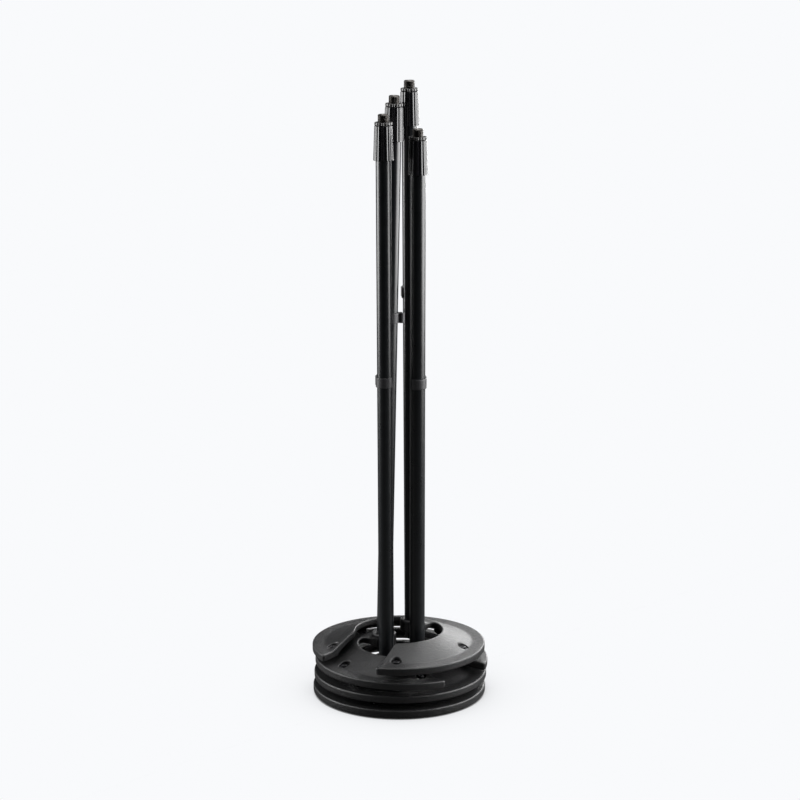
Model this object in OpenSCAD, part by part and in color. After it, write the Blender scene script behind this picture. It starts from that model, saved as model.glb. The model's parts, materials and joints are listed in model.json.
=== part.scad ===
// A nested stack of four straight microphone stands. Each stand has a round cast base
// with an open centre and a slot, so the next stand drops over it a quarter turn round.
// Millimetres, +Z up. The origin is on the floor under the middle of the lowest base.

/* [Stack] */
// Turn of the lowest stand about the vertical, in degrees
first_turn = -37.3; // [-180:0.1:180]
// Turn from one stand to the next one up, in degrees
turn_step = 90; // [80:1:100]
// How far each stand leans towards the front, in degrees, from the bottom of the stack up
lean_front = [0, 0, 0, -0.8]; // [-1:0.05:1]
// How far each stand leans to the right, in degrees
lean_right = [0, -0.25, 1.1, -0.35]; // [-1.2:0.05:1.2]
// Sideways shift of each stand
shift_right = [0, 1.5, 3, -1]; // [-4:0.5:4]
// Shift of each stand towards the back
shift_back = [0, 2.5, 0, 1.5]; // [-4:0.5:4]
// Height of each stand above the floor
rise = [0, 20.8, 41.5, 61.6]; // [0:0.1:80]

/* [Base] */
// Outer diameter of the round base
base_d = 254; // [240:1:280]
// Width of the flat rim around the base
rim_w = 20; // [14:1:24]
// Thickness of the rim
rim_h = 11; // [9:0.5:12]
// Diameter of the open centre
hole_d = 128; // [124:1:136]
// Height of the dome's edge above the rim
dome_rise = 19; // [14:0.5:22]
// Wall thickness of the dome
dome_wall = 10; // [8:0.5:11]
// Width of the slot that lets a stand be dropped over another
slot_w = 94; // [84:1:100]
// How far the slot's slanted side lies from its middle line, at the base's centre
slot_slant_in = 25; // [20:1:47]
// How far the slot's slanted side lies from its middle line, at the base's edge
slot_slant_out = 50; // [42:1:54]
// Width of the tongue that carries the tube
tongue_w = 34; // [28:1:40]
// Distance from the middle of the base to the tube's axis
tube_offset = 33; // [31:0.5:36]
// Diameter of the boss under the tube
boss_d = 36; // [32:1:38]
// Height of the boss above the dome's edge
boss_h = 8; // [6:0.5:12]

/* [Feet] */
// Number of rubber feet, evenly spaced with the slot between two of them
foot_count = 5; // [5:1:5]
// Distance from the middle of the base to each foot
foot_offset = 100; // [96:0.5:104]
// Diameter of a rubber foot
foot_d = 12; // [10:0.5:14]
// How far the feet stand out below the rim
foot_h = 2.5; // [2:0.5:4]
// Diameter of the counterbore above each foot
counterbore_d = 15.5; // [12:0.5:18]
// Diameter of a foot screw's shank
foot_screw_d = 5; // [4:0.5:6]

/* [Tubes] */
// Outer diameter of the outer tube
outer_d = 22.2; // [22:0.1:23]
// Wall thickness of the outer tube
outer_wall = 1.5; // [1.2:0.1:1.6]
// Outer diameter of the inner tube, and of the thread on its end
inner_d = 15.88; // [15.6:0.01:16]
// Wall thickness of the inner tube
inner_wall = 1.2; // [1:0.1:1.5]
// Height from the feet to the top of the thread, with the inner tube pushed in
stand_h = 836; // [820:1:1000]
// Length of the inner tube
inner_len = 768; // [600:1:930]
// Radial clearance of a sliding or turning fit
fit_gap = 0.06; // [0.02:0.01:0.1]

/* [Clutch] */
// Length of the turning grip
grip_len = 49; // [40:1:60]
// Diameter of the grip at its top
grip_top_d = 25.4; // [25:0.2:27]
// Diameter of the grip at its bottom
grip_bottom_d = 28.8; // [27:0.2:31]
// Number of flutes around the grip and the collar
flute_count = 16; // [12:1:20]
// Depth of a flute
flute_depth = 0.5; // [0.3:0.1:0.6]
// Length of the thread above the collar
thread_len = 11; // [9:0.5:14]
// Thickness of the collar under the thread
collar_h = 4; // [3:0.5:6]
// Diameter of the collar
collar_d = 25.4; // [24:0.2:27]

/* [Cable clip] */
// Height of the cable clip along the tube
clip_h = 15; // [12:1:18]
// Wall thickness of the clip
clip_wall = 1.8; // [1.5:0.1:2.2]
// Diameter of the cable that the hook holds
cable_d = 6.4; // [5:0.2:7]
// Height of each stand's clip above its feet, from the bottom of the stack up
clip_z = [471, 453, 517, 531]; // [60:1:700]
// Direction of each hook about its tube, in degrees from the right-hand side
clip_turn = [60, 125, 0, 125]; // [0:1:360]
// Direction of each clip's opening, in degrees from its hook
clip_opening = [120, -120, 120, 120]; // [-180:1:180]

/* [Hidden] */
PIECES = ["base", "feet", "foot_screws", "tube_stud", "washer", "nut", "outer_tube",
    "clutch_body", "collet", "grip", "inner_tube", "guide_bush", "thread_stud", "collar",
    "cable_clip"];
STANDS = [0, 1, 2, 3];

$fn = 96;
over = 1;                                   // how far a cutter runs past a face
edge = 1.2;                                 // chamfer on the castings' edges

base_r = base_d / 2;
hole_r = hole_d / 2;
dome_r = base_r - rim_w;                    // where the dome leaves the flat rim
rim_top = foot_h + rim_h;
dome_top = rim_top + dome_rise;             // top of the dome's inner edge
dome_under = dome_top - dome_wall;          // underside of the dome's inner edge
under_r = dome_r - 2.5;                     // where the dome's underside meets the rim's
boss_top = dome_top + boss_h;
tongue_root_r = hole_r + 6;                 // the tongue runs this far under the dome
fillet_r = 9;                               // fillet where the tongue leaves the ring

foot_turns = [for (k = [0 : foot_count - 1]) 180 + 360 / foot_count * (k + 0.5)];
foot_pocket = 4;                            // depth that a foot sits in the casting
foot_bevel = 1;
foot_pad_r = foot_d / 2 + 2;                // casting around a foot's pocket
foot_pad_drop = 0.4;                        // the pads stand this far below the rim
foot_pad_top = rim_top - 2;
counterbore_floor = rim_top - 1;
screw_head_r = 4.6;
screw_head_h = 3;
screw_socket_r = 1.8;
screw_end = 2;                              // the shank ends this far above the floor

outer_r = outer_d / 2;
outer_bore_r = outer_r - outer_wall;
inner_r = inner_d / 2;
socket_depth = 6;                           // the tube sits this deep in the boss
tube_bottom = boss_top - socket_depth;
stud_r = 6;
stud_plug_h = 12;
washer_h = 2;
washer_r = 11;
nut_h = 9;
nut_across = 18;                            // across the nut's flats
stud_end = dome_under - washer_h - nut_h - 2;

thread_bottom = stand_h - thread_len;
collar_bottom = thread_bottom - collar_h;
grip_top = collar_bottom - 0.5;
grip_bottom = grip_top - grip_len;
grip_top_r = grip_top_d / 2;
grip_bottom_r = grip_bottom_d / 2;
grip_bevel = 1.5;
body_r = 11.7;                              // outside of the clutch body
body_bottom = grip_bottom + 6;
body_cap_h = 5;
outer_top = grip_top - 15.5;                // top end of the outer tube
body_top = outer_top + body_cap_h;
collet_h = 8;
collet_r = [10.8, 9.4];                     // at its foot and at its top
collet_split = 1.6;
part_gap = 0.3;                             // gap between pieces that move apart
grip_lip_r = inner_r + 0.4;

inner_top = collar_bottom;
inner_bottom = inner_top - inner_len;
bush_len = 20;
bush_lip = 2;
plug_r = inner_r - inner_wall;
plug_len = 26;
thread_bevel = 1;

clip_bore_r = outer_r + fit_gap;
clip_r = clip_bore_r + clip_wall;
clip_mouth = 86;                            // opening angle of the clip, behind the hook
hook_bore_r = cable_d / 2;
hook_r = hook_bore_r + clip_wall;
hook_offset = clip_bore_r + hook_r;         // from the tube's axis to the cable's
hook_mouth = 4.6;                           // width of the slit the cable snaps through

// Puts a stand, drawn about its own axis with its tube on the right, in its place.
module in_stack(i) {
    translate([shift_right[i], shift_back[i], rise[i]])
    rotate([lean_front[i], lean_right[i], 0])
    rotate([0, 0, first_turn - turn_step * i])
    children();
}

// Puts something drawn about the tube's axis onto it.
module on_tube() {
    translate([tube_offset, 0, 0]) children();
}

// A tube or bush drawn as a true cylinder with a true bore.
module ring(r_out, r_in, z0, z1) {
    difference() {
        translate([0, 0, z0]) cylinder(r = r_out, h = z1 - z0);
        translate([0, 0, z0 - over]) cylinder(r = r_in, h = z1 - z0 + 2 * over);
    }
}

// The turned shape of the base: flat rim, sloping dome, open centre.
module base_ring() {
    rotate_extrude()
    polygon([
        [base_r - edge, foot_h], [base_r, foot_h + edge],
        [base_r, rim_top - edge], [base_r - edge, rim_top],
        [dome_r, rim_top], [hole_r + edge, dome_top - edge * dome_rise / (dome_r - hole_r)],
        [hole_r, dome_top - 2 * edge], [hole_r, dome_under], [under_r, foot_h]
    ]);
}

// The tongue that reaches into the open centre, filleted into the ring.
module tongue() {
    translate([tube_offset, -tongue_w / 2, dome_under])
    cube([tongue_root_r - tube_offset, tongue_w, dome_wall - edge]);
    root_x = sqrt(pow(hole_r, 2) - pow(tongue_w / 2 + fillet_r, 2));
    for (side = [-1, 1])
    difference() {
        translate([root_x, side * (tongue_w / 2 + fillet_r / 2), dome_under + (dome_wall - edge) / 2])
        cube([2 * fillet_r, fillet_r, dome_wall - edge], center = true);
        translate([root_x - fillet_r / 2, side * (tongue_w / 2 + fillet_r), dome_under - over])
        cylinder(r = fillet_r, h = dome_wall + 2 * over);
    }
}

module base() {
    color([0.09, 0.09, 0.095])
    difference() {
        union() {
            difference() {
                base_ring();
                linear_extrude(dome_top + over)
                polygon([
                    [0, slot_w / 2], [-base_r - over, slot_w / 2],
                    [-base_r - over, -slot_slant_out], [0, -slot_slant_in]
                ]);
            }
            tongue();
            on_tube() {
                translate([0, 0, dome_under]) cylinder(d = boss_d, h = boss_top - edge - dome_under);
                translate([0, 0, boss_top - edge])
                cylinder(r1 = boss_d / 2, r2 = boss_d / 2 - edge, h = edge);
            }
            for (turn = foot_turns)
            rotate([0, 0, turn]) translate([foot_offset, 0, foot_h - foot_pad_drop])
            cylinder(r = foot_pad_r, h = foot_pad_top - foot_h + foot_pad_drop);
        }
        on_tube() {
            translate([0, 0, dome_under - over]) cylinder(r = stud_r + fit_gap, h = boss_top);
            translate([0, 0, tube_bottom]) cylinder(r = outer_r + fit_gap, h = boss_top);
        }
        for (turn = foot_turns)
        rotate([0, 0, turn]) translate([foot_offset, 0, 0]) {
            translate([0, 0, foot_h - over]) cylinder(r = foot_d / 2, h = foot_pocket + over);
            cylinder(r = foot_screw_d / 2 + fit_gap, h = dome_top);
            translate([0, 0, counterbore_floor]) cylinder(d = counterbore_d, h = dome_top);
        }
    }
}

module feet() {
    color([0.05, 0.05, 0.05])
    for (turn = foot_turns)
    rotate([0, 0, turn]) translate([foot_offset, 0, 0])
    difference() {
        union() {
            cylinder(r1 = foot_d / 2 - foot_bevel, r2 = foot_d / 2, h = foot_bevel);
            translate([0, 0, foot_bevel]) cylinder(d = foot_d, h = foot_h + foot_pocket - foot_bevel);
        }
        translate([0, 0, screw_end]) cylinder(d = foot_screw_d, h = foot_h + foot_pocket);
    }
}

module foot_screws() {
    color([0.25, 0.25, 0.26])
    for (turn = foot_turns)
    rotate([0, 0, turn]) translate([foot_offset, 0, 0])
    difference() {
        union() {
            translate([0, 0, screw_end]) cylinder(d = foot_screw_d, h = counterbore_floor - screw_end);
            translate([0, 0, counterbore_floor]) cylinder(r = screw_head_r, h = screw_head_h);
        }
        translate([0, 0, counterbore_floor + 1]) cylinder(r = screw_socket_r, h = screw_head_h, $fn = 6);
    }
}

// The plug inside the tube's foot, with the stud that clamps the tube to the base.
module tube_stud() {
    color([0.6, 0.6, 0.62])
    on_tube() {
        translate([0, 0, stud_end]) cylinder(r = stud_r, h = tube_bottom - stud_end);
        translate([0, 0, tube_bottom]) cylinder(r = outer_bore_r, h = stud_plug_h);
    }
}

module washer() {
    color([0.55, 0.55, 0.57])
    on_tube() ring(washer_r, stud_r + 0.3, dome_under - washer_h, dome_under);
}

module nut() {
    color([0.55, 0.55, 0.57])
    on_tube()
    translate([0, 0, dome_under - washer_h - nut_h])
    difference() {
        cylinder(d = nut_across / cos(30), h = nut_h, $fn = 6);
        translate([0, 0, -over]) cylinder(r = stud_r, h = nut_h + 2 * over);
    }
}

module outer_tube() {
    color([0.04, 0.045, 0.05])
    on_tube() ring(outer_r, outer_bore_r, tube_bottom, outer_top);
}

// The bush on the tube's top end. Its cap guides the inner tube.
module clutch_body() {
    color([0.7, 0.58, 0.3])
    on_tube() {
        ring(body_r, outer_r, body_bottom, outer_top);
        ring(body_r, inner_r + fit_gap, outer_top, body_top);
    }
}

// The split nylon cone that the grip squeezes onto the inner tube.
module collet() {
    color([0.85, 0.85, 0.8])
    on_tube()
    difference() {
        translate([0, 0, body_top]) cylinder(r1 = collet_r[0], r2 = collet_r[1], h = collet_h);
        translate([0, 0, body_top - over]) cylinder(r = inner_r + fit_gap, h = collet_h + 2 * over);
        translate([0, -collet_split / 2, body_top - over])
        cube([collet_r[0] + over, collet_split, collet_h + 2 * over]);
    }
}

module grip() {
    cone_bottom = body_top + part_gap;
    cone_top = body_top + collet_h + part_gap;
    color([0.02, 0.02, 0.025])
    on_tube()
    difference() {
        union() {
            translate([0, 0, grip_bottom])
            cylinder(r1 = grip_bottom_r, r2 = grip_top_r, h = grip_len - grip_bevel);
            translate([0, 0, grip_top - grip_bevel])
            cylinder(r1 = grip_top_r, r2 = grip_top_r - grip_bevel, h = grip_bevel);
        }
        translate([0, 0, grip_bottom - over]) cylinder(r = body_r + fit_gap, h = cone_bottom - grip_bottom + over);
        translate([0, 0, cone_bottom])
        cylinder(r1 = collet_r[0] + part_gap, r2 = collet_r[1] + part_gap, h = cone_top - cone_bottom);
        translate([0, 0, cone_top - over]) cylinder(r = grip_lip_r, h = grip_len);
        flutes(grip_bottom, grip_top, grip_bottom_r, grip_top_r);
    }
}

// Round-bottomed grooves that follow a cone's side.
module flutes(z0, z1, r0, r1) {
    slope = atan((r0 - r1) / (z1 - z0));
    flute_r = PI * r1 / flute_count / 2;
    for (k = [0 : flute_count - 1])
    rotate([0, 0, 360 / flute_count * k])
    translate([r0 + flute_r - flute_depth, 0, z0]) rotate([0, -slope, 0])
    translate([0, 0, -over]) cylinder(r = flute_r, h = z1 - z0 + 2 * over, $fn = 24);
}

module inner_tube() {
    color([0.04, 0.045, 0.05])
    on_tube() ring(inner_r, plug_r, inner_bottom, inner_top);
}

// The nylon bush on the inner tube's lower end that keeps it central.
module guide_bush() {
    color([0.85, 0.85, 0.8])
    on_tube() {
        ring(outer_bore_r - fit_gap, inner_r, inner_bottom, inner_bottom + bush_len);
        ring(outer_bore_r - fit_gap, plug_r, inner_bottom - bush_lip, inner_bottom);
    }
}

// The end plug with the thread that takes a microphone clip.
module thread_stud() {
    color([0.3, 0.3, 0.3])
    on_tube() {
        translate([0, 0, inner_top - plug_len]) cylinder(r = plug_r, h = plug_len + collar_h);
        translate([0, 0, thread_bottom]) cylinder(r = inner_r, h = thread_len - thread_bevel);
        translate([0, 0, stand_h - thread_bevel])
        cylinder(r1 = inner_r, r2 = inner_r - thread_bevel, h = thread_bevel);
    }
}

module collar() {
    color([0.12, 0.12, 0.12])
    on_tube()
    difference() {
        ring(collar_d / 2, plug_r, collar_bottom, thread_bottom);
        flutes(collar_bottom, thread_bottom, collar_d / 2, collar_d / 2);
    }
}

// A spring clip that slides on the tube, with a hook for the microphone's cable.
module cable_clip(z, turn, opening) {
    color([0.08, 0.08, 0.085])
    on_tube()
    translate([0, 0, z - clip_h / 2]) rotate([0, 0, turn])
    difference() {
        union() {
            cylinder(r = clip_r, h = clip_h);
            translate([hook_offset, 0, 0]) cylinder(r = hook_r, h = clip_h);
        }
        translate([0, 0, -over]) cylinder(r = clip_bore_r, h = clip_h + 2 * over);
        translate([0, 0, -over])
        linear_extrude(clip_h + 2 * over)
        polygon([[0, 0], for (a = [-1, 1])
            2 * clip_r * [cos(opening + a * clip_mouth / 2), sin(opening + a * clip_mouth / 2)]]);
        translate([hook_offset, 0, -over]) cylinder(r = hook_bore_r, h = clip_h + 2 * over);
        translate([hook_offset, 0, -over]) rotate([0, 0, 40])
        translate([0, -hook_mouth / 2, 0]) cube([2 * hook_r, hook_mouth, clip_h + 2 * over]);
    }
}

for (i = STANDS) in_stack(i) {
    base();
    feet();
    foot_screws();
    tube_stud();
    washer();
    nut();
    outer_tube();
    clutch_body();
    collet();
    grip();
    inner_tube();
    guide_bush();
    thread_stud();
    collar();
    cable_clip(clip_z[i], clip_turn[i] - first_turn + turn_step * i, clip_opening[i]);
}
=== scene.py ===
"""A nested stack of four straight microphone stands, each with a slotted round base.

Every stand is drawn once about its own axis, in millimetres, with its tube on the right at
TUBE_OFFSET and its slot on the left, and then put in its place in the stack.
"""
import json
import math

import bpy
import numpy as np
from mathutils import Matrix, Vector


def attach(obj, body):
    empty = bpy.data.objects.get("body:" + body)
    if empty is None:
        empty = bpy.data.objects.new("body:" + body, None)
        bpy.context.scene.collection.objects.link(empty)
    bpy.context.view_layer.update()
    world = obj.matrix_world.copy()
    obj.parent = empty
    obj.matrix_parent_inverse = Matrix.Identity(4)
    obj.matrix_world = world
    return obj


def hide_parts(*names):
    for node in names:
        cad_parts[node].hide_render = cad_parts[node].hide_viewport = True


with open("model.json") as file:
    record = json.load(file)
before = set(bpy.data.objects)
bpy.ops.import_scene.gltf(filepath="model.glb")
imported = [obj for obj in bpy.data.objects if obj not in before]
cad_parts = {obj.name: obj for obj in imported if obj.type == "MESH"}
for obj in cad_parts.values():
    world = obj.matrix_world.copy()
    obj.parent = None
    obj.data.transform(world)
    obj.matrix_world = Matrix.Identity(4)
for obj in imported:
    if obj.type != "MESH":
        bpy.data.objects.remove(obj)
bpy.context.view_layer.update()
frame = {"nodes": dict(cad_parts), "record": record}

# ---------------------------------------------------------------- the design's own sizes, mm
MM = 0.001
STAND_COUNT = 4
FIRST_TURN = -37.3                      # turn of the lowest stand, in degrees
TURN_STEP = 90.0                        # from one stand to the next one up
LEAN_FRONT = (0.0, 0.0, 0.0, -0.8)
LEAN_RIGHT = (0.0, -0.25, 1.1, -0.35)
SHIFT_RIGHT = (0.0, 1.5, 3.0, -1.0)
SHIFT_BACK = (0.0, 2.5, 0.0, 1.5)
RISE = (0.0, 20.8, 41.5, 61.6)

BASE_R = 127.0
HOLE_R = 64.0
DOME_R = 107.0
FOOT_H = 2.5
RIM_TOP = 13.5
DOME_TOP = 32.5
DOME_UNDER = 22.5
UNDER_R = 104.5
SLOT_HALF = 47.0
SLOT_SLANT_IN = 25.0                    # how far the slanted side lies from the slot's middle line,
SLOT_SLANT_OUT = 50.0                   # at the base's centre and at its edge
TONGUE_HALF = 17.0
TUBE_OFFSET = 33.0
BOSS_R = 18.0
BOSS_TOP = 40.5
FOOT_OFFSET = 100.0
FOOT_R = 6.0
FOOT_PAD_R = 8.0
FOOT_PAD_BOTTOM = FOOT_H - 0.4
FOOT_TOP = 6.5
FOOT_TURNS = [math.radians(180 + 72 * (k + 0.5)) for k in range(5)]
COUNTERBORE_R = 7.75
COUNTERBORE_FLOOR = 12.5
SCREW_HEAD_R = 4.6
SCREW_HEAD_H = 3.0
SCREW_SHANK_R = 2.5
SCREW_END = 2.0
SOCKET_R = 1.8

OUTER_R = 11.1
OUTER_BORE_R = 9.6
TUBE_BOTTOM = BOSS_TOP - 6.0
INNER_R = 7.94
PLUG_R = 6.74
STAND_H = 836.0
THREAD_BOTTOM = STAND_H - 11.0
COLLAR_BOTTOM = THREAD_BOTTOM - 4.0
COLLAR_R = 12.7
GRIP_TOP = COLLAR_BOTTOM - 0.5
GRIP_BOTTOM = GRIP_TOP - 49.0
GRIP_TOP_R = 12.7
GRIP_BOTTOM_R = 14.4
GRIP_BORE_R = 11.8
GRIP_LIP_R = 8.4
OUTER_TOP = GRIP_TOP - 15.5
INNER_BOTTOM = COLLAR_BOTTOM - 768.0
FLUTES = 16
FLUTE_DEPTH = 0.55

CLIP_H = 15.0
CLIP_WALL = 1.8
CLIP_BORE_R = OUTER_R + 0.06
CLIP_MOUTH = math.radians(43)           # half of the clip's opening
HOOK_BORE_R = 3.2
HOOK_R = HOOK_BORE_R + CLIP_WALL
HOOK_OFFSET = CLIP_BORE_R + HOOK_R
HOOK_MOUTH = 2.3                        # half of the slit the cable snaps through
HOOK_MOUTH_TURN = math.radians(40)
CLIP_Z = (471.0, 453.0, 517.0, 531.0)
CLIP_TURN = (60.0, 125.0, 0.0, 125.0)   # direction of each hook, from the right-hand side
CLIP_OPENING = (120.0, -120.0, 120.0, 120.0)    # direction of each clip's opening, from its hook

ROUND = 96                              # sides of a turned piece


def stand_matrix(i):
    """Where stand i stands, in millimetres."""
    lean = Matrix.Rotation(math.radians(LEAN_RIGHT[i]), 4, "Y")
    lean = lean @ Matrix.Rotation(math.radians(LEAN_FRONT[i]), 4, "X")
    turn = Matrix.Rotation(math.radians(FIRST_TURN - TURN_STEP * i), 4, "Z")
    return Matrix.Translation((SHIFT_RIGHT[i], SHIFT_BACK[i], RISE[i])) @ lean @ turn


# ---------------------------------------------------------------- materials
def new_material(name):
    """A new material, with its node tree and its shader."""
    mat = bpy.data.materials.new(name)
    mat.use_nodes = True
    shader = mat.node_tree.nodes["Principled BSDF"]
    return mat, mat.node_tree, shader


def node(tree, kind, **values):
    """Adds a node and sets its inputs or properties by name."""
    n = tree.nodes.new(kind)
    for key, value in values.items():
        if key in n.inputs:
            n.inputs[key].default_value = value
        else:
            setattr(n, key, value)
    return n


def noise(tree, coords, size, detail=4.0, roughness=0.6, stretch=None):
    """Noise whose grains are about size millimetres across, or longer along Z by stretch."""
    source = coords.outputs["Object"]
    if stretch:
        mapping = node(tree, "ShaderNodeMapping", Scale=(1.0, 1.0, 1.0 / stretch))
        tree.links.new(source, mapping.inputs["Vector"])
        source = mapping.outputs["Vector"]
    n = node(tree, "ShaderNodeTexNoise", Scale=1.0 / (size * MM), Detail=detail, Roughness=roughness)
    tree.links.new(source, n.inputs["Vector"])
    return n.outputs["Fac"]


def ramp(tree, source, low, high, stops=(0.3, 0.7), between=()):
    """Maps a 0 to 1 value onto a range of greys or colours, with (place, value) stops between."""
    r = tree.nodes.new("ShaderNodeValToRGB")
    elements = r.color_ramp.elements
    elements[0].position, elements[1].position = stops
    for place, _ in between:
        elements.new(place)
    for element, value in zip(elements, (low, *(value for _, value in between), high)):
        element.color = (*(value if isinstance(value, tuple) else (value,) * 3), 1.0)
    tree.links.new(source, r.inputs["Fac"])
    return r.outputs["Color"]


def bump(tree, shader, layers):
    """Chains bumps, each (height source, depth in millimetres)."""
    last = None
    for source, depth in layers:
        b = node(tree, "ShaderNodeBump", Strength=1.0, Distance=depth * MM)
        tree.links.new(source, b.inputs["Height"])
        if last:
            tree.links.new(last, b.inputs["Normal"])
        last = b.outputs["Normal"]
    tree.links.new(last, shader.inputs["Normal"])


def wear_and_sheen_mask(tree):
    """The wear-and-sheen mask stored on a mesh's points: 1 on outer edges, 0 on flats. It lightens paint as
    wear and as painted edge highlight.
    """
    return node(tree, "ShaderNodeAttribute", attribute_name="wear_and_sheen").outputs["Fac"]


def casting_paint():
    """Textured black powder coat over cast iron, lighter along outward edges: thinner coat there, and a
    painted edge highlight.
    """
    mat, tree, shader = new_material("powder_coated_casting")
    coords = tree.nodes.new("ShaderNodeTexCoord")
    cast = noise(tree, coords, 4.5, detail=2.0)
    grain = noise(tree, coords, 1.5, detail=3.0)
    fine = noise(tree, coords, 0.5, detail=2.0)
    speckle = noise(tree, coords, 2.4, detail=5.0, roughness=0.75)
    base = ramp(tree, speckle, (0.004, 0.004, 0.0045), (0.014, 0.014, 0.0145), (0.38, 0.62))
    # outward edges get a lighter colour: thinner coat, and painted highlight along the edges
    edge = tree.nodes.new("ShaderNodeMix")
    edge.data_type = "RGBA"
    tree.links.new(wear_and_sheen_mask(tree), edge.inputs["Factor"])
    tree.links.new(base, edge.inputs["A"])
    edge.inputs["B"].default_value = (0.050, 0.050, 0.052, 1.0)
    tree.links.new(edge.outputs["Result"], shader.inputs["Base Color"])
    tree.links.new(ramp(tree, speckle, 0.34, 0.56, (0.38, 0.62)), shader.inputs["Roughness"])
    shader.inputs["IOR"].default_value = 1.5
    bump(tree, shader, [(cast, 0.40), (grain, 0.40), (fine, 0.12)])
    return mat


def satin_paint(name, roughness, colour):
    """Smooth black paint on steel tube, with a faint drawn grain along the tube."""
    mat, tree, shader = new_material(name)
    coords = tree.nodes.new("ShaderNodeTexCoord")
    drawn = noise(tree, coords, 1.2, detail=2.0, stretch=60.0)
    peel = noise(tree, coords, 2.4, detail=1.0)
    scuff = noise(tree, coords, 18.0, detail=6.0, roughness=0.7)
    tree.links.new(ramp(tree, scuff, colour, tuple(c * 1.5 for c in colour)), shader.inputs["Base Color"])
    tree.links.new(ramp(tree, scuff, roughness, roughness + 0.03), shader.inputs["Roughness"])
    shader.inputs["IOR"].default_value = 1.5
    bump(tree, shader, [(drawn, 0.002), (peel, 0.003)])
    return mat


def gloss_paint(name, roughness, colour, worn_and_glint):
    """Glossy black enamel that goes lighter where the wear-and-sheen mask is high: wear on edges and lands,
    and on the collar painted highlight on its lands too.
    """
    mat, tree, shader = new_material(name)
    coords = tree.nodes.new("ShaderNodeTexCoord")
    peel = noise(tree, coords, 1.6, detail=1.0)
    smear = noise(tree, coords, 9.0, detail=5.0)
    edge = tree.nodes.new("ShaderNodeMix")
    edge.data_type = "RGBA"
    tree.links.new(wear_and_sheen_mask(tree), edge.inputs["Factor"])
    edge.inputs["A"].default_value = (*colour, 1.0)
    edge.inputs["B"].default_value = (*worn_and_glint, 1.0)
    tree.links.new(edge.outputs["Result"], shader.inputs["Base Color"])
    tree.links.new(ramp(tree, smear, roughness, roughness + 0.10), shader.inputs["Roughness"])
    shader.inputs["IOR"].default_value = 1.52
    bump(tree, shader, [(peel, 0.003)])
    return mat


def metal(name, colour, roughness, grain_size=0.6):
    """Turned or plated metal with fine marks."""
    mat, tree, shader = new_material(name)
    coords = tree.nodes.new("ShaderNodeTexCoord")
    marks = noise(tree, coords, grain_size, detail=4.0)
    patch = noise(tree, coords, 6.0, detail=4.0)
    tree.links.new(ramp(tree, patch, tuple(c * 0.75 for c in colour), colour), shader.inputs["Base Color"])
    tree.links.new(ramp(tree, marks, roughness, roughness + 0.15), shader.inputs["Roughness"])
    shader.inputs["Metallic"].default_value = 1.0
    bump(tree, shader, [(marks, 0.010)])
    return mat


def moulded(name, colour, roughness, grain_size=0.5, depth=0.02):
    """Moulded plastic or rubber with a fine eroded skin."""
    mat, tree, shader = new_material(name)
    coords = tree.nodes.new("ShaderNodeTexCoord")
    skin = noise(tree, coords, grain_size, detail=3.0)
    patch = noise(tree, coords, 8.0, detail=3.0)
    tree.links.new(ramp(tree, patch, tuple(c * 0.8 for c in colour), colour), shader.inputs["Base Color"])
    tree.links.new(ramp(tree, skin, roughness, roughness + 0.12), shader.inputs["Roughness"])
    bump(tree, shader, [(skin, depth)])
    return mat


MATERIALS = {
    "casting": casting_paint(),
    "tube": satin_paint("satin_black_tube", 0.27, (0.005, 0.006, 0.007)),
    "grip": gloss_paint("gloss_black_grip", 0.12, (0.006, 0.006, 0.008), (0.02, 0.02, 0.02)),
    # the collar's lighter land colour is wear and painted highlight on its lands
    "collar": gloss_paint("black_collar", 0.25, (0.02, 0.02, 0.02), (0.16, 0.155, 0.15)),
    "thread": metal("dark_plated_thread", (0.085, 0.08, 0.075), 0.30),
    "clip": moulded("black_clip_plastic", (0.030, 0.030, 0.033), 0.42),
    "rubber": moulded("black_rubber", (0.018, 0.018, 0.018), 0.72, depth=0.04),
    "fastener": metal("black_oxide_fastener", (0.055, 0.055, 0.058), 0.38),
    "brass": metal("turned_brass", (0.72, 0.52, 0.25), 0.28),
    "nylon": moulded("natural_nylon", (0.78, 0.77, 0.71), 0.45),
}


# ---------------------------------------------------------------- making meshes
def corner_normals(points, faces, crease=math.radians(38)):
    """One normal for each face corner: the area-weighted mean of the faces that meet there
    within the crease angle, so that broad faces stay true and small rolls stay round."""
    normals = []
    for f in faces:
        ring = points[list(f)]
        normals.append(np.cross(ring, np.roll(ring, -1, axis=0)).sum(0) / 2)
    normals = np.array(normals)
    units = normals / np.maximum(np.linalg.norm(normals, axis=1), 1e-12)[:, None]
    around = [[] for _ in points]
    for k, f in enumerate(faces):
        for v in f:
            around[v].append(k)
    limit = math.cos(crease)
    result = []
    for k, f in enumerate(faces):
        for v in f:
            near = around[v]
            total = sum(normals[n] for n in near if float(units[n] @ units[k]) > limit)
            result.append(total / max(float(np.linalg.norm(total)), 1e-12))
    return np.array(result)


def finished(points, faces, wear_and_sheen=None):
    """A shape: points in millimetres, faces, a normal for each face corner, and the wear-and-sheen mask."""
    if wear_and_sheen is None:
        wear_and_sheen = np.zeros(len(points))
    return points, faces, corner_normals(points, faces), wear_and_sheen


def make_piece(name, points, faces, normals, wear_and_sheen, slot):
    """A mesh object from a shape."""
    mesh = bpy.data.meshes.new(name)
    mesh.from_pydata((points * MM).tolist(), [], faces)
    mesh.polygons.foreach_set("use_smooth", [True] * len(mesh.polygons))
    # this mask lightens paint as wear and as painted highlight on edges and lands
    layer = mesh.attributes.new("wear_and_sheen", "FLOAT", "POINT")
    layer.data.foreach_set("value", wear_and_sheen.astype(np.float32))
    mesh.normals_split_custom_set(normals.tolist())
    mesh.materials.append(MATERIALS[slot])
    obj = bpy.data.objects.new(name, mesh)
    bpy.context.scene.collection.objects.link(obj)
    return obj


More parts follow.
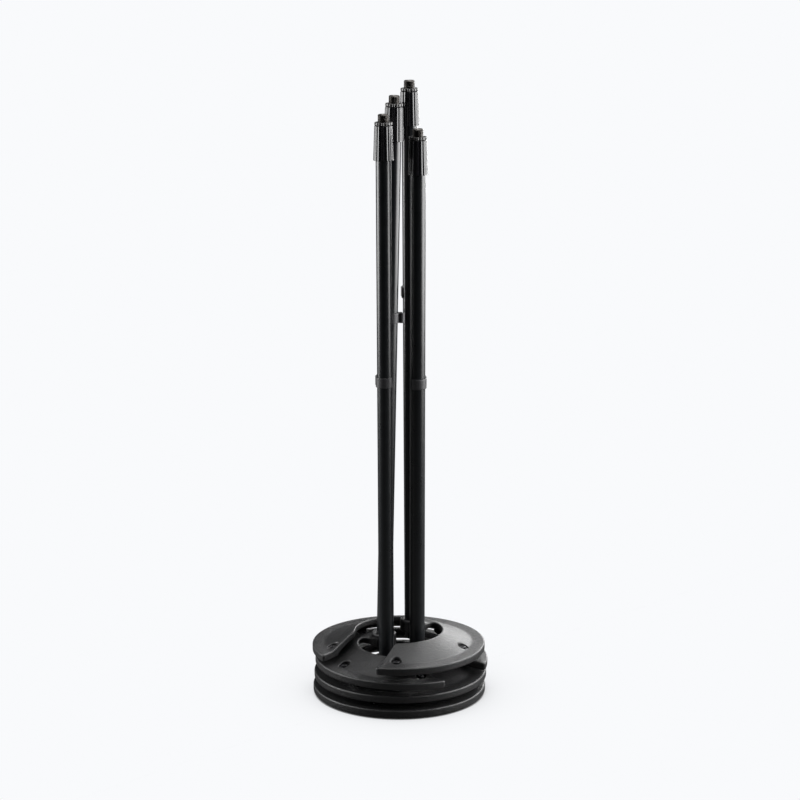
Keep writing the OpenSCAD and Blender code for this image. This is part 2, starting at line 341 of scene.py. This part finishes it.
def place_shape(name, shape, matrix, body, replaced, slot):
    """Puts a shape into the stack, on its body and in place of its CAD node."""
    points, faces, normals, wear_and_sheen = shape
    m = np.array(matrix)
    obj = make_piece(name, points @ m[:3, :3].T + m[:3, 3], faces, normals @ m[:3, :3].T, wear_and_sheen, slot)
    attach(obj, body)
    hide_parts(replaced)


def ring_faces(rows, columns, closed_rows=False):
    """Quads between rows of a grid whose columns go all the way round."""
    faces = []
    for j in range(rows if closed_rows else rows - 1):
        a, b = j * columns, (j + 1) % rows * columns
        for k in range(columns):
            n = (k + 1) % columns
            faces.append((a + k, a + n, b + n, b + k))
    return faces


def merged(*shapes):
    """Several shapes as one."""
    faces, start = [], 0
    for shape in shapes:
        faces += [tuple(start + v for v in f) for f in shape[1]]
        start += len(shape[0])
    points, normals, wear_and_sheen = (np.concatenate([shape[k] for shape in shapes]) for k in (0, 2, 3))
    return points, faces, normals, wear_and_sheen


def shifted(shape, dx=0.0, dy=0.0, dz=0.0, turn=0.0):
    """A shape turned about Z and then moved."""
    c, s = math.cos(turn), math.sin(turn)
    spin = np.array([[c, -s, 0.0], [s, c, 0.0], [0.0, 0.0, 1.0]])
    return shape[0] @ spin.T + np.array([dx, dy, dz]), shape[1], shape[2] @ spin.T, shape[3]


def rounded_outline(corners):
    """An (r, z) outline with each corner (r, z, radius) turned into a short arc."""
    outline = []
    count = len(corners)
    for k, (r, z, radius) in enumerate(corners):
        here = np.array([r, z])
        if radius <= 0:
            outline.append(here)
            continue
        before = np.array(corners[k - 1][:2]) - here
        after = np.array(corners[(k + 1) % count][:2]) - here
        a, b = before / np.linalg.norm(before), after / np.linalg.norm(after)
        half = math.acos(max(-1.0, min(1.0, float(a @ b)))) / 2
        reach = radius / math.tan(half)
        centre = here + (a + b) / np.linalg.norm(a + b) * radius / math.sin(half)
        start, end = here + a * reach - centre, here + b * reach - centre
        sweep = math.pi - 2 * half
        for step in range(5):
            t = step / 4
            mix = math.sin((1 - t) * sweep) * start + math.sin(t * sweep) * end
            outline.append(centre + mix / math.sin(sweep))
    return np.array(outline)


def lathe(corners, sides=ROUND):
    """A closed ring turned from an outline that doesn't reach the axis."""
    outline = rounded_outline(corners)
    angles = np.arange(sides) * 2 * math.pi / sides
    rows = [np.stack([r * np.cos(angles), r * np.sin(angles), np.full(sides, z)], -1) for r, z in outline]
    return finished(np.concatenate(rows), ring_faces(len(outline), sides, closed_rows=True))


def turned_solid(corners, sides=ROUND):
    """A solid of revolution. The outline starts and ends at small radii, closed by flat discs."""
    outline = rounded_outline([(*corners[0][:2], 0), *corners[1:-1], (*corners[-1][:2], 0)])
    angles = np.arange(sides) * 2 * math.pi / sides
    rows = [np.stack([r * np.cos(angles), r * np.sin(angles), np.full(sides, z)], -1) for r, z in outline]
    faces = ring_faces(len(outline), sides)
    last = (len(outline) - 1) * sides
    faces.append(tuple(reversed(range(sides))))
    faces.append(tuple(range(last, last + sides)))
    return finished(np.concatenate(rows), faces)


# ---------------------------------------------------------------- cast and moulded shapes
def blend_min(a, b, k):
    """The lower of two distances, with a fillet of about k where they meet."""
    h = np.maximum(k - np.abs(a - b), 0.0) / k
    return np.minimum(a, b) - h * h * k / 4


def blend_max(a, b, k):
    """The higher of two distances, with the edge rounded over about k."""
    return -blend_min(-a, -b, k)


def spaced(*stretches):
    """Grid lines along an axis: (start, end, step) stretches, end to end."""
    lines = [np.arange(start, end - step / 2, step) for start, end, step in stretches]
    return np.concatenate(lines + [[stretches[-1][1]]])


def gradient(distance, p, reach=0.04):
    """The direction in which a distance grows, at each point."""
    g = np.empty_like(p)
    for axis in range(3):
        step = np.zeros(3)
        step[axis] = reach
        g[:, axis] = (distance(p + step) - distance(p - step)) / (2 * reach)
    return g


def skin(distance, lines, place, edge_reach):
    """The surface where distance is zero, as one point per grid cell that it crosses.

    lines are the grid lines along three axes, and place turns their values into x, y, z. The
    points are then drawn onto the surface itself, and take their normals from it. The
    wear-and-sheen mask, which lightens paint as wear and as painted edge highlight, is
    high where the surface bends outwards within edge_reach.
    """
    grid = place(*np.meshgrid(*lines, indexing="ij"))
    value = distance(grid.reshape(-1, 3)).reshape(grid.shape[:3])
    inside = value < 0
    cells = tuple(n - 1 for n in value.shape)
    total = np.zeros((*cells, 3))
    count = np.zeros(cells)
    crossings = []
    for axis in range(3):
        low = [slice(None)] * 3
        high = [slice(None)] * 3
        low[axis], high[axis] = slice(0, -1), slice(1, None)
        low, high = tuple(low), tuple(high)
        crossed = np.argwhere(inside[low] != inside[high])
        a = tuple(crossed.T)
        b = crossed.copy()
        b[:, axis] += 1
        b = tuple(b.T)
        t = (value[a] / (value[a] - value[b]))[:, None]
        point = grid[a] * (1 - t) + grid[b] * t
        others = [k for k in range(3) if k != axis]
        for da in (0, 1):
            for db in (0, 1):
                cell = crossed.copy()
                cell[:, others[0]] -= da
                cell[:, others[1]] -= db
                good = np.all((cell >= 0) & (cell < cells), axis=1)
                where = tuple(cell[good].T)
                np.add.at(total, where, point[good])
                np.add.at(count, where, 1)
        crossings.append((others, crossed))
    used = count > 0
    number = np.full(cells, -1)
    number[used] = np.arange(int(used.sum()))
    p = total[used] / count[used][:, None]
    faces = []
    for others, crossed in crossings:
        corners = []
        for da, db in ((1, 1), (0, 1), (0, 0), (1, 0)):
            cell = crossed.copy()
            cell[:, others[0]] -= da
            cell[:, others[1]] -= db
            corners.append(number[tuple(cell.T)])
        faces.append(np.stack(corners, -1))
    faces = np.concatenate(faces)
    for _ in range(4):
        g = gradient(distance, p)
        p = p - g * (distance(p) / np.maximum((g * g).sum(1), 0.2))[:, None]
    g = gradient(distance, p)
    normals = g / np.linalg.norm(g, axis=1)[:, None]
    across = np.cross(p[faces[:, 2]] - p[faces[:, 0]], p[faces[:, 3]] - p[faces[:, 1]])
    inward = (across * normals[faces].sum(1)).sum(1) < 0
    faces[inward] = faces[inward][:, ::-1]
    around = [distance(p + np.array(d) * edge_reach) for d in
              ((1, 0, 0), (-1, 0, 0), (0, 1, 0), (0, -1, 0), (0, 0, 1), (0, 0, -1))]
    bend = sum(around) / (6 * edge_reach)
    wear_and_sheen = np.clip(bend * 4.0 - 0.25, 0.0, 1.0)
    return p, faces.tolist(), normals[faces].reshape(-1, 3), wear_and_sheen


def top_of(r):
    """Height of the casting's upper surface over radius r."""
    slope = (DOME_TOP - RIM_TOP) / (DOME_R - HOLE_R)
    return RIM_TOP + (DOME_R - r) * slope, math.cos(math.atan(slope))


def casting_distance(p):
    """Distance to the cast base, negative inside."""
    x, y, z = p[:, 0], p[:, 1], p[:, 2]
    r = np.hypot(x, y)
    slant = (SLOT_SLANT_OUT - SLOT_SLANT_IN) / BASE_R
    slanted = (-y - SLOT_SLANT_IN + x * slant) * math.cos(math.atan(slant))
    slot_side = np.maximum(x, np.maximum(y - SLOT_HALF, slanted))
    plan = blend_max(np.maximum(r - BASE_R, HOLE_R - r), -slot_side, 5.0)
    tongue = np.maximum(np.abs(y) - TONGUE_HALF, TUBE_OFFSET - x)
    tongue = np.maximum(tongue, x - UNDER_R)
    plan = blend_min(plan, tongue, 14.0)
    cone, lean = top_of(r)
    upper = blend_min(z - RIM_TOP, (z - cone) * lean, 1.5)
    upper = blend_max(upper, z - DOME_TOP + 0.5, 1.5)
    under_slope = (DOME_UNDER - FOOT_H) / (UNDER_R - HOLE_R)
    under = (FOOT_H + (UNDER_R - r) * under_slope - z) * math.cos(math.atan(under_slope))
    lower = blend_max(FOOT_H - z, np.minimum(under, DOME_UNDER - z), 1.5)
    d = blend_max(plan, blend_max(upper, lower, 0.5), 2.4)
    boss_side = np.hypot(x - TUBE_OFFSET, y) - BOSS_R
    boss = blend_max(boss_side, np.maximum(z - BOSS_TOP, DOME_UNDER - z), 2.2)
    d = blend_min(d, boss, 5.0)
    ring_groove = np.abs(np.hypot(x - TUBE_OFFSET, y) - OUTER_R) - 0.7
    d = blend_max(d, -np.maximum(ring_groove, BOSS_TOP - 0.9 - z), 0.5)
    for turn in FOOT_TURNS:
        across = np.hypot(x - FOOT_OFFSET * math.cos(turn), y - FOOT_OFFSET * math.sin(turn))
        pad = np.maximum(across - FOOT_PAD_R, np.maximum(FOOT_PAD_BOTTOM - z, z - COUNTERBORE_FLOOR + 1))
        d = blend_min(d, pad, 1.2)
        bore = np.maximum(across - COUNTERBORE_R, COUNTERBORE_FLOOR - z)
        d = blend_max(d, -bore, 1.4)
    return d


def casting_shape():
    """The cast base's surface, on a grid that follows its circles."""
    angles = np.linspace(-math.pi, math.pi, 560)
    radii = spaced((13, 62, 1.5), (62, 67, 0.6), (67, 91, 2.4),
                   (91, 109, 1.0), (109, 124, 3.0), (124, 129, 0.5))
    heights = spaced((0.6, 4.2, 0.6), (4.2, 11.4, 1.8), (11.4, 15, 0.6), (15, 30.6, 1.56),
                     (30.6, 34.2, 0.6), (34.2, 37.8, 1.2), (37.8, 42, 0.6))
    def place(a, r, z):
        return np.stack([r * np.cos(a), r * np.sin(a), z], -1)
    return skin(casting_distance, (angles, radii, heights), place, edge_reach=1.6)


def clip_distance(p, opening):
    """Distance to the cable clip, about the tube's axis with its hook towards +X."""
    x, y, z = p[:, 0], p[:, 1], p[:, 2]
    r = np.hypot(x, y)
    ahead = x * math.cos(opening) + y * math.sin(opening)
    aside = np.abs(y * math.cos(opening) - x * math.sin(opening))
    angle = np.arctan2(aside, ahead)                   # from the middle of the mouth
    band = np.abs(r - CLIP_BORE_R - CLIP_WALL / 2) - CLIP_WALL / 2
    mouth = r * np.sin(np.clip(CLIP_MOUTH - angle, -1.5, 1.5))
    band = blend_max(band, mouth, 1.0)
    bead = CLIP_WALL * 0.62                            # radius of the rounded lips
    lip_r = CLIP_BORE_R + bead
    lip = np.hypot(ahead - lip_r * math.cos(CLIP_MOUTH), aside - lip_r * math.sin(CLIP_MOUTH)) - bead
    band = blend_min(band, lip, 0.8)
    hx = x - HOOK_OFFSET
    hook = np.abs(np.hypot(hx, y) - HOOK_BORE_R - CLIP_WALL / 2) - CLIP_WALL / 2
    along = hx * math.cos(HOOK_MOUTH_TURN) + y * math.sin(HOOK_MOUTH_TURN)
    across = -hx * math.sin(HOOK_MOUTH_TURN) + y * math.cos(HOOK_MOUTH_TURN)
    hook = blend_max(hook, np.minimum(along, HOOK_MOUTH - np.abs(across)), 0.9)
    plan = blend_min(band, hook, 1.6)
    plan = np.maximum(plan, CLIP_BORE_R - r)
    return blend_max(plan, np.abs(z) - CLIP_H / 2, 1.2)


def clip_shape(opening):
    """The cable clip's surface, centred on its own height, with its opening at this angle."""
    across = spaced((-14.5, 22.5, 0.45))
    side = spaced((-14.5, 14.5, 0.45))
    half = CLIP_H / 2
    heights = spaced((-half - 0.6, -half + 1.4, 0.4), (-half + 1.4, half - 1.4, 2.0),
                     (half - 1.4, half + 0.6, 0.4))
    def place(x, y, z):
        return np.stack([x, y, z], -1)
    return skin(lambda p: clip_distance(p, opening), (across, side, heights), place, edge_reach=0.6)


# ---------------------------------------------------------------- turned shapes
def groove(angle, count, share):
    """From 0 on a land to 1 in the middle of a groove that takes this share of each pitch."""
    t = np.mod(angle * count / (2 * math.pi) + 0.5, 1.0) - 0.5
    return np.where(np.abs(t) < share / 2, np.cos(np.pi * t / share), 0.0) ** 1.3


def fluted(rows, sides_per_flute=16, share=0.72):
    """A closed ring of (radius, height, flute depth) rows. The wear-and-sheen mask is high on the lands,
    where it lightens paint as wear and, on the collar, as painted highlight.
    """
    sides = FLUTES * sides_per_flute
    angles = np.arange(sides) * 2 * math.pi / sides
    cut = groove(angles, FLUTES, share)
    points, wear_and_sheen = [], []
    for r, z, depth in rows:
        radius = r - depth * cut
        points.append(np.stack([radius * np.cos(angles), radius * np.sin(angles), np.full(sides, z)], -1))
        wear_and_sheen.append(np.where(depth > 0, 1.0 - cut, 0.3) * 0.35)
    faces = ring_faces(len(rows), sides, closed_rows=True)
    return finished(np.concatenate(points), faces, np.concatenate(wear_and_sheen))


def grip_shape():
    """The tapered, fluted grip: bottom lip, long flutes, rolled top edge."""
    rows = [(GRIP_BORE_R, GRIP_BOTTOM + 0.3, 0), (GRIP_BORE_R + 0.3, GRIP_BOTTOM, 0),
            (GRIP_BOTTOM_R - 0.5, GRIP_BOTTOM, 0), (GRIP_BOTTOM_R - 0.12, GRIP_BOTTOM + 0.2, 0.1),
            (GRIP_BOTTOM_R, GRIP_BOTTOM + 0.7, 0.2)]
    flute_start, flute_end = 2.0, 46.0
    for step in range(13):
        t = step / 12
        h = flute_start + t * (flute_end - flute_start)
        r = GRIP_BOTTOM_R + (GRIP_TOP_R - GRIP_BOTTOM_R) * h / (GRIP_TOP - GRIP_BOTTOM)
        rows.append((r, GRIP_BOTTOM + h, FLUTE_DEPTH))
    bevel = 1.5
    for step in range(6):
        a = math.pi / 2 * step / 5
        rows.append((GRIP_TOP_R - bevel * (1 - math.cos(a)), GRIP_TOP - bevel * (1 - math.sin(a)),
                     FLUTE_DEPTH * (1 - step / 6) * 0.9))
    rows += [(GRIP_LIP_R + 0.4, GRIP_TOP, 0), (GRIP_LIP_R, GRIP_TOP - 0.4, 0),
             (GRIP_LIP_R, GRIP_TOP - 2.0, 0), (9.7, GRIP_TOP - 2.3, 0),
             (11.1, OUTER_TOP + 5.6, 0), (GRIP_BORE_R, OUTER_TOP + 5.5, 0)]
    return fluted(rows)


def collar_shape():
    """The notched collar under the thread."""
    notch = 0.9                         # depth of a notch
    rows = [(PLUG_R, COLLAR_BOTTOM, 0), (COLLAR_R - 1.0, COLLAR_BOTTOM, 0),
            (COLLAR_R - 0.3, COLLAR_BOTTOM + 0.2, notch * 0.5),
            (COLLAR_R, COLLAR_BOTTOM + 0.8, notch), (COLLAR_R, THREAD_BOTTOM - 0.9, notch),
            (COLLAR_R - 0.35, THREAD_BOTTOM - 0.25, notch * 0.7),
            (COLLAR_R - 1.2, THREAD_BOTTOM, 0), (PLUG_R, THREAD_BOTTOM, 0)]
    return fluted(rows, share=0.6)


def thread_shape():
    """The end plug and its 27-to-the-inch thread, cut as a true helix."""
    pitch = 25.4 / 27
    depth = 0.52
    sides = 72
    per_turn = 10
    angles = np.arange(sides) * 2 * math.pi / sides
    heights = np.arange(THREAD_BOTTOM, STAND_H - 0.3, pitch / per_turn)
    points = []
    for z in heights:
        t = np.mod((z - THREAD_BOTTOM) / pitch - angles / (2 * math.pi), 1.0)
        ridge = 1 - np.abs(2 * t - 1)
        ridge = np.clip((ridge - 0.12) / 0.76, 0, 1)
        chamfer = min(1.0, (STAND_H - z) / 1.3)
        runout = min(1.0, (z - THREAD_BOTTOM) / 0.8)
        radius = INNER_R - depth * (1 - ridge * runout)
        radius = np.minimum(radius, INNER_R - 1.1 * (1 - chamfer))
        points.append(np.stack([radius * np.cos(angles), radius * np.sin(angles), np.full(sides, z)], -1))
    dish = [(INNER_R - 1.25, STAND_H - 0.05), (INNER_R - 1.7, STAND_H), (3.2, STAND_H),
            (2.6, STAND_H - 0.5), (0.8, STAND_H - 1.1)]
    for r, z in dish:
        points.append(np.stack([r * np.cos(angles), r * np.sin(angles), np.full(sides, z)], -1))
    faces = ring_faces(len(points), sides)
    last = (len(points) - 1) * sides
    faces.append(tuple(range(last, last + sides)))
    faces.append(tuple(reversed(range(sides))))
    threaded = finished(np.concatenate(points), faces)
    plug = turned_solid([(1.0, COLLAR_BOTTOM - 26, 0), (PLUG_R, COLLAR_BOTTOM - 26, 0.6),
                         (PLUG_R, THREAD_BOTTOM + 0.4, 0), (1.0, THREAD_BOTTOM + 0.4, 0)], sides=48)
    return merged(threaded, plug)


def outer_tube_shape():
    """The outer tube, with both ends dressed."""
    return lathe([(OUTER_BORE_R, TUBE_BOTTOM, 0.2), (OUTER_R, TUBE_BOTTOM, 0.4),
                  (OUTER_R, OUTER_TOP, 0.4), (OUTER_BORE_R, OUTER_TOP, 0.2)])


def inner_tube_shape():
    """The inner tube, open at both ends."""
    return lathe([(PLUG_R, INNER_BOTTOM, 0.2), (INNER_R, INNER_BOTTOM, 0.4),
                  (INNER_R, COLLAR_BOTTOM, 0.2), (PLUG_R, COLLAR_BOTTOM, 0.2)])


def foot_shape():
    """A rubber foot with a dished underside."""
    return turned_solid([(1.6, 0.6, 0), (3.0, 0.0, 0.6), (FOOT_R, 0.0, 1.1),
                         (FOOT_R, FOOT_TOP, 0.2), (1.6, FOOT_TOP, 0)], sides=48)


def foot_screw_shape():
    """A socket-head screw."""
    sides = 48
    angles = np.arange(sides) * 2 * math.pi / sides
    head_top = COUNTERBORE_FLOOR + SCREW_HEAD_H
    sector = math.pi / 3
    flat = SOCKET_R * math.cos(math.pi / 6) / np.cos(np.mod(angles, sector) - sector / 2)
    rows = [(1.0, SCREW_END), (SCREW_SHANK_R - 0.4, SCREW_END), (SCREW_SHANK_R, SCREW_END + 0.6),
            (SCREW_SHANK_R, COUNTERBORE_FLOOR), (SCREW_HEAD_R - 0.2, COUNTERBORE_FLOOR),
            (SCREW_HEAD_R, COUNTERBORE_FLOOR + 0.3), (SCREW_HEAD_R, head_top - 0.6),
            (SCREW_HEAD_R - 0.2, head_top - 0.2), (SCREW_HEAD_R - 0.6, head_top)]
    points = [np.stack([r * np.cos(angles), r * np.sin(angles), np.full(sides, z)], -1) for r, z in rows]
    for scale, z in ((1.12, head_top), (1.0, head_top - 0.2), (1.0, head_top - 1.9), (0.3, head_top - 2.2)):
        r = flat * scale
        points.append(np.stack([r * np.cos(angles), r * np.sin(angles), np.full(sides, z)], -1))
    faces = ring_faces(len(points), sides)
    last = (len(points) - 1) * sides
    faces.append(tuple(range(last, last + sides)))
    faces.append(tuple(reversed(range(sides))))
    return finished(np.concatenate(points), faces)


def around_base(shape):
    """Copies of a shape at each foot."""
    return merged(*[shifted(shape, FOOT_OFFSET * math.cos(t), FOOT_OFFSET * math.sin(t), turn=t)
                    for t in FOOT_TURNS])


# ---------------------------------------------------------------- camera, floor and light
CAMERA_PLACE = Vector((0.0287, -3.5227, 1.2871))
CAMERA_PITCH = 13.5                     # degrees below level
CAMERA_TURN = 0.45                      # degrees to the left of straight ahead
CAMERA_FOCAL = 113.1                    # mm, on a 36 mm sensor
camera_data = bpy.data.cameras.new("camera")
camera_data.lens = CAMERA_FOCAL
camera_data.sensor_width = 36
camera = bpy.data.objects.new("camera", camera_data)
camera.location = CAMERA_PLACE
camera.rotation_euler = (math.radians(90 - CAMERA_PITCH), 0, math.radians(CAMERA_TURN))
bpy.context.scene.collection.objects.link(camera)
bpy.context.scene.camera = camera
bpy.context.scene.view_settings.view_transform = "Standard"


def studio_floor():
    """A wide pale floor that glows evenly for the camera, with a contact shadow painted into its glow close
    to what stands on it.
    """
    mesh = bpy.data.meshes.new("floor")
    reach = 60.0                        # metres each way from the middle
    corners = [(-reach, -reach, 0), (reach, -reach, 0), (reach, reach, 0), (-reach, reach, 0)]
    mesh.from_pydata(corners, [], [(0, 1, 2, 3)])
    mat = bpy.data.materials.new("pale_floor")
    mat.use_nodes = True
    tree = mat.node_tree
    tree.nodes.clear()
    # painted contact shadow: ambient occlusion darkens the floor's glow near the stands
    nearness = node(tree, "ShaderNodeAmbientOcclusion", Distance=SHADOW_REACH, samples=12)
    levels = [(place, tuple(c * level for c in PALE)) for place, level in SHADOW_CURVE]
    shade = ramp(tree, nearness.outputs["AO"], (0.004, 0.004, 0.004), PALE, (0.10, 0.97), levels)
    seen = node(tree, "ShaderNodeEmission", Strength=1.0)
    tree.links.new(shade, seen.inputs["Color"])
    bounce = node(tree, "ShaderNodeBsdfDiffuse", Color=(*(FLOOR_BOUNCE,) * 3, 1.0))
    path = tree.nodes.new("ShaderNodeLightPath")
    mix = tree.nodes.new("ShaderNodeMixShader")
    tree.links.new(path.outputs["Is Camera Ray"], mix.inputs[0])
    tree.links.new(bounce.outputs[0], mix.inputs[1])
    tree.links.new(seen.outputs[0], mix.inputs[2])
    out = tree.nodes.new("ShaderNodeOutputMaterial")
    tree.links.new(mix.outputs[0], out.inputs["Surface"])
    mesh.materials.append(mat)
    floor = bpy.data.objects.new("floor", mesh)
    bpy.context.scene.collection.objects.link(floor)


def soft_box(name, place, aim, size, power):
    """A rectangular soft light that the camera doesn't see."""
    data = bpy.data.lights.new(name, "AREA")
    data.shape = "RECTANGLE"
    data.size, data.size_y = size
    data.energy = power
    box = bpy.data.objects.new(name, data)
    box.location = place
    box.rotation_euler = (Vector(aim) - Vector(place)).to_track_quat("-Z", "Y").to_euler()
    box.visible_camera = False
    bpy.context.scene.collection.objects.link(box)


def studio_world():
    """A pale backdrop, and a dim room for everything that the light bounces off."""
    world = bpy.data.worlds.new("studio")
    world.use_nodes = True
    tree = world.node_tree
    room = tree.nodes["Background"]
    room.inputs["Color"].default_value = (0.9, 0.95, 1.0, 1.0)
    room.inputs["Strength"].default_value = ROOM_LIGHT
    backdrop = node(tree, "ShaderNodeBackground", Color=(*PALE, 1.0), Strength=1.0)
    path = tree.nodes.new("ShaderNodeLightPath")
    mix = tree.nodes.new("ShaderNodeMixShader")
    tree.links.new(path.outputs["Is Camera Ray"], mix.inputs[0])
    tree.links.new(room.outputs[0], mix.inputs[1])
    tree.links.new(backdrop.outputs[0], mix.inputs[2])
    tree.links.new(mix.outputs[0], tree.nodes["World Output"].inputs["Surface"])
    bpy.context.scene.world = world


PALE = (0.947, 0.956, 0.973)            # the colour of the sweep
SHADOW_REACH = 0.11
SHADOW_CURVE = ((0.36, 0.30), (0.50, 0.80), (0.72, 0.95))   # openness to the room, share of PALE
FLOOR_BOUNCE = 0.08
ROOM_LIGHT = 0.03
studio_floor()
studio_world()
soft_box("left_box", (-1.8, 0.2, 1.05), (0, 0, 0.95), (1.2, 1.8), 60)
soft_box("right_box", (1.8, 0.1, 1.05), (0, 0, 0.95), (1.9, 1.8), 100)
soft_box("top_box", (0.3, 0.5, 2.3), (0, 0, 0), (1.5, 1.5), 44)
soft_box("back_box", (0.85, 1.9, 0.85), (0, 0, 0.1), (1.1, 0.9), 32)

# ---------------------------------------------------------------- the stack
casting = casting_shape()
clips = {opening: clip_shape(math.radians(opening)) for opening in set(CLIP_OPENING)}
on_tube = {
    "outer_tube": (outer_tube_shape(), "tube", ""),
    "inner_tube": (inner_tube_shape(), "tube", "_extension"),
    "thread_stud": (thread_shape(), "thread", "_extension"),
    "collar": (collar_shape(), "collar", "_extension"),
    "grip": (grip_shape(), "grip", "_clutch"),
}
feet = around_base(foot_shape())
screws = around_base(foot_screw_shape())

for i in range(STAND_COUNT):
    stand = f"stand{i + 1}"
    where = stand_matrix(i)
    place_shape(stand + "_base_casting", casting, where, stand, stand + "_base", "casting")
    place_shape(stand + "_rubber_feet", feet, where, stand, stand + "_feet", "rubber")
    place_shape(stand + "_socket_screws", screws, where, stand, stand + "_foot_screws", "fastener")
    tube = where @ Matrix.Translation((TUBE_OFFSET, 0, 0))
    for part, (shape, slot, suffix) in on_tube.items():
        place_shape(f"{stand}_{part}_detail", shape, tube, stand + suffix, f"{stand}_{part}", slot)
    hook_turn = math.radians(CLIP_TURN[i] - FIRST_TURN + TURN_STEP * i)
    clipped = shifted(clips[CLIP_OPENING[i]], dz=CLIP_Z[i], turn=hook_turn)
    place_shape(stand + "_clip_detail", clipped, tube, stand + "_clip", stand + "_cable_clip", "clip")

slot_of = {s["node"]: s["material_slot"] for s in frame["record"]["subparts"]}
for name, obj in frame["nodes"].items():
    if not obj.hide_render:
        obj.data.materials.clear()
        obj.data.materials.append(MATERIALS[slot_of[name]])
